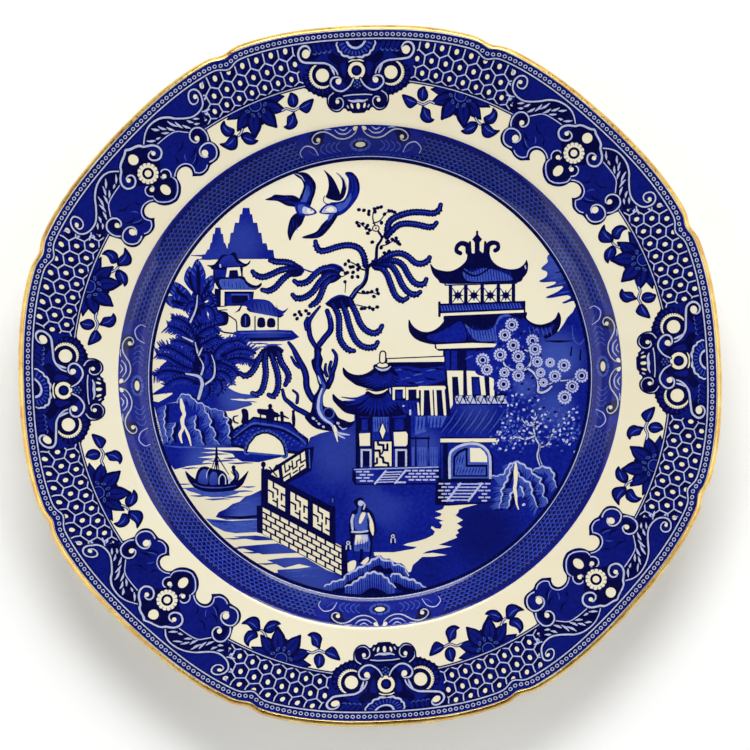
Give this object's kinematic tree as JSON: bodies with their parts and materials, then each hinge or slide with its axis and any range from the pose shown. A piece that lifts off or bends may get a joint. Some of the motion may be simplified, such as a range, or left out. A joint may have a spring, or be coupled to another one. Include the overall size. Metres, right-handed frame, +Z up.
{
  "type": "dinner plate",
  "caption": "Round china dinner plate with a flat well, sloping rim, moulded wavy gilt edge, foot ring and blue transfer-printed landscape decoration.",
  "frame": {"origin": "centre of the foot ring, on the plane the plate stands on", "axes": "+Z up out of the face, +Y towards the border cartouche above the printed landscape, +X to its right"},
  "size_m": [0.2528, 0.2528, 0.0235],
  "materials": {
    "body": "glazed cream earthenware, gloss",
    "cobalt_print": "cobalt blue underglaze transfer print",
    "glaze": "clear gloss glaze",
    "gilding": "burnished gilding, slightly worn"
  },
  "bodies": {
    "root": {"plate_body": "body", "scene_transfer": "cobalt_print", "band_transfer": "cobalt_print", "border_transfer": "cobalt_print", "glaze_coat": "glaze", "foot_hollow_glaze": "glaze", "gilt_edge_line": "gilding"}
  },
  "joints": []
}
